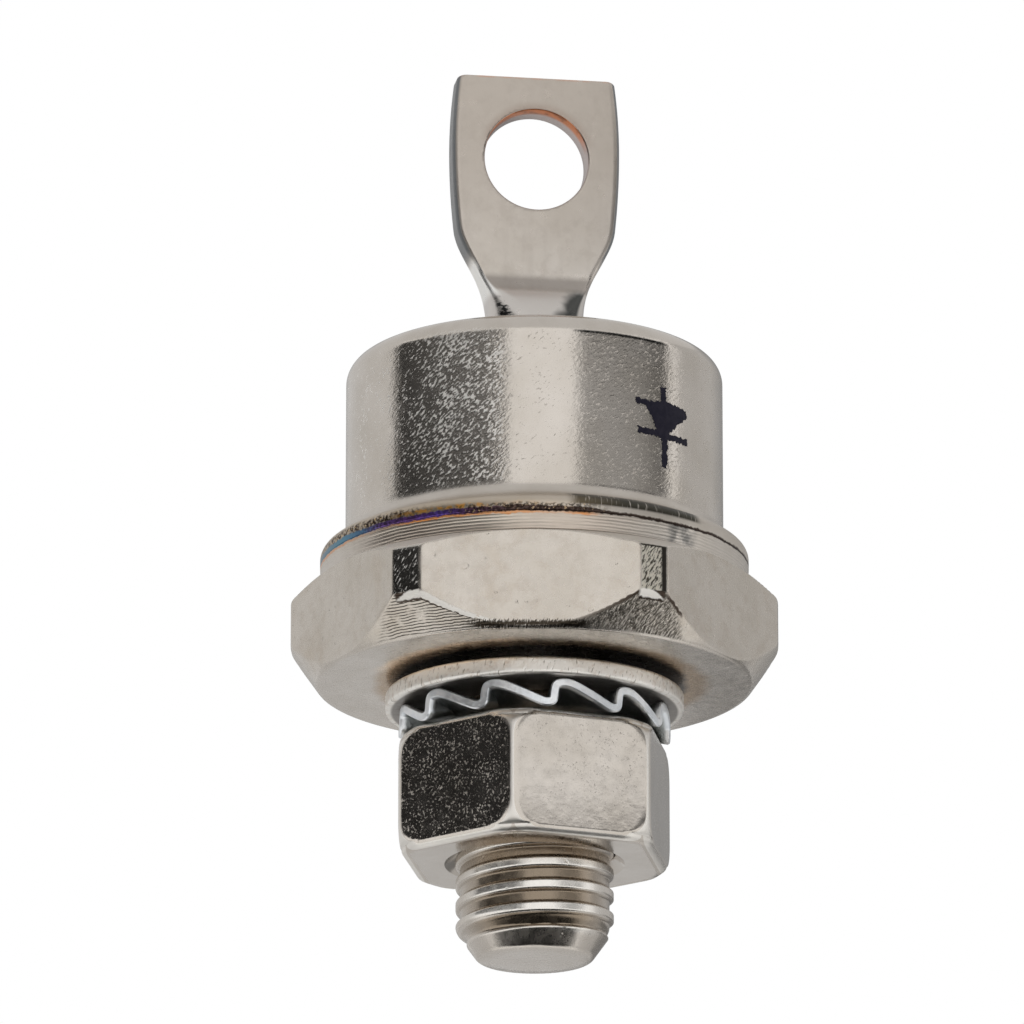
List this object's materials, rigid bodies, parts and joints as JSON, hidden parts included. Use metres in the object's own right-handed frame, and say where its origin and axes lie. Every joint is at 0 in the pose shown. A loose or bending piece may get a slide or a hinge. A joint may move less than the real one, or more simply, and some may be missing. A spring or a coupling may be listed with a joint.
{
  "type": "stud mount rectifier diode",
  "caption": "Metal-cased power diode: hexagonal base with a threaded mounting stud, lock washer and nut, welded cap and flattened tube terminal with a hole.",
  "frame": {"origin": "centre of the flat seat under the hexagon, where the stud leaves it", "axes": "+Z along the stud's axis towards the terminal, -Y the side the picture shows"},
  "size_m": [0.0192, 0.0174, 0.0363],
  "materials": {
    "nickel_on_copper": "satin nickel plate over turned copper",
    "nickel_on_steel": "nickel plate over pressed steel, finely crinkled",
    "zinc_on_steel": "bluish zinc plate over spring steel",
    "seal_glass": "dark fused sealing glass",
    "bare_copper": "bare copper",
    "solder": "dull solder",
    "silicon": "dark grey silicon",
    "molybdenum": "lapped molybdenum",
    "silicone": "white silicone"
  },
  "bodies": {
    "diode": {"stud_base": "nickel_on_copper", "weld_ring": "nickel_on_steel", "cap": "nickel_on_steel", "glass_seal": "seal_glass", "terminal": "nickel_on_copper", "inner_lead": "bare_copper", "contact_disc": "bare_copper", "upper_solder": "solder", "silicon_chip": "silicon", "chip_solder": "solder", "molybdenum_disc": "molybdenum", "base_solder": "solder", "junction_coating": "silicone"},
    "washers": {"flat_washer": "nickel_on_steel", "lock_washer": "zinc_on_steel"},
    "nut": {"hex_nut": "nickel_on_steel"}
  },
  "joints": [
    {"name": "washers_slide", "type": "slide", "parent": "diode", "child": "washers", "axis": [0, 0, 1], "range_m": [-0.00665, 0.00032]},
    {"name": "nut_turn", "type": "hinge", "parent": "washers", "child": "nut", "pos_m": [0, 0, -0.00475], "axis": [0, 0, 1], "range_deg": [-2640, 128]}
  ],
  "couplings": [
    {"joint": "nut_turn", "follows": "washers_slide", "rad_per_m": 6926.3}
  ]
}
